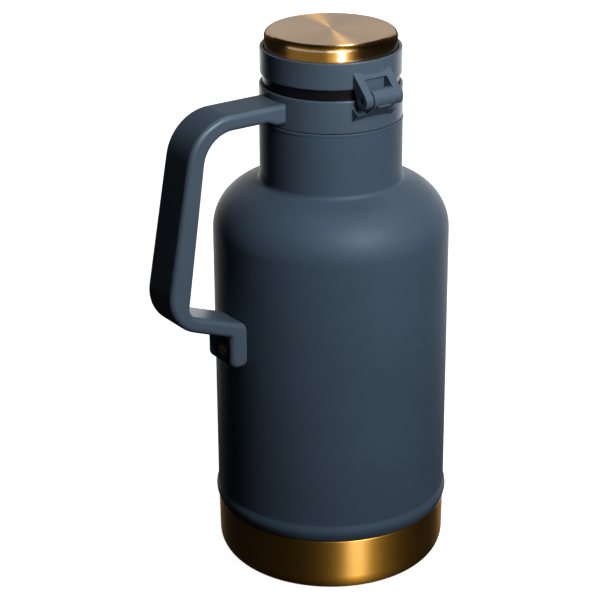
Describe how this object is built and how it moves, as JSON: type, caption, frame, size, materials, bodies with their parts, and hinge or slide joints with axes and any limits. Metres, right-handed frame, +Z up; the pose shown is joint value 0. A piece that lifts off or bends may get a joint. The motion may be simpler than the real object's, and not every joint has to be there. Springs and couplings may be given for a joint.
{
  "type": "growler",
  "caption": "Vacuum-insulated steel growler with a side handle, a hinged lid ring, and a cap that twists down onto the mouth.",
  "frame": {"origin": "centre of the base cup's flat underside, on the bottle's axis", "axes": "+Z up along the bottle's axis, -X towards the handle, -Y towards the lid's hinge"},
  "size_m": [0.1725, 0.1292, 0.3008],
  "materials": {
    "coated_steel": "satin slate-blue powder coat with a fine texture",
    "slate_plastic": "satin slate-blue moulded plastic, finely grained on the collar",
    "black_plastic": "satin black moulded plastic",
    "gold_steel": "brushed, gold-coloured steel with a clear coat",
    "bare_steel": "satin stainless steel",
    "silicone": "matt grey food-grade silicone",
    "foam": "matt closed-cell foam"
  },
  "bodies": {
    "bottle": {"outer_shell": "coated_steel", "inner_vessel": "bare_steel", "base_cup": "gold_steel", "base_plate": "bare_steel", "vacuum_seal": "bare_steel", "getter": "bare_steel", "collar": "slate_plastic", "hinge_pin": "bare_steel", "handle": "slate_plastic", "handle_bracket": "bare_steel", "handle_screw": "gold_steel", "saddle_screw_lower": "bare_steel", "saddle_screw_upper": "bare_steel"},
    "lid_ring": {"hinge_ring": "slate_plastic"},
    "cap_slip": {"slip_washer": "silicone"},
    "cap": {"cap_shell": "gold_steel", "cap_core": "black_plastic", "cap_body": "black_plastic", "cap_gasket": "silicone", "cap_screw_1": "bare_steel", "cap_screw_2": "bare_steel", "cap_screw_3": "bare_steel", "plug_insulation": "foam", "plug_base": "black_plastic"}
  },
  "joints": [
    {"name": "lid_hinge", "type": "hinge", "parent": "bottle", "child": "lid_ring", "pos_m": [0, -0.0429, 0.2741], "axis": [1, 0, 0], "range_deg": [0, 180]},
    {"name": "cap_lift", "type": "slide", "parent": "lid_ring", "child": "cap_slip", "axis": [0, 0, 1], "range_m": [-0.00241, 0]},
    {"name": "cap_twist", "type": "hinge", "parent": "cap_slip", "child": "cap", "pos_m": [0, 0, 0.2693], "axis": [0, 0, 1], "range_deg": [-60, 0]}
  ],
  "couplings": [
    {"joint": "cap_lift", "follows": "cap_twist", "m_per_rad": 0.0022918}
  ]
}
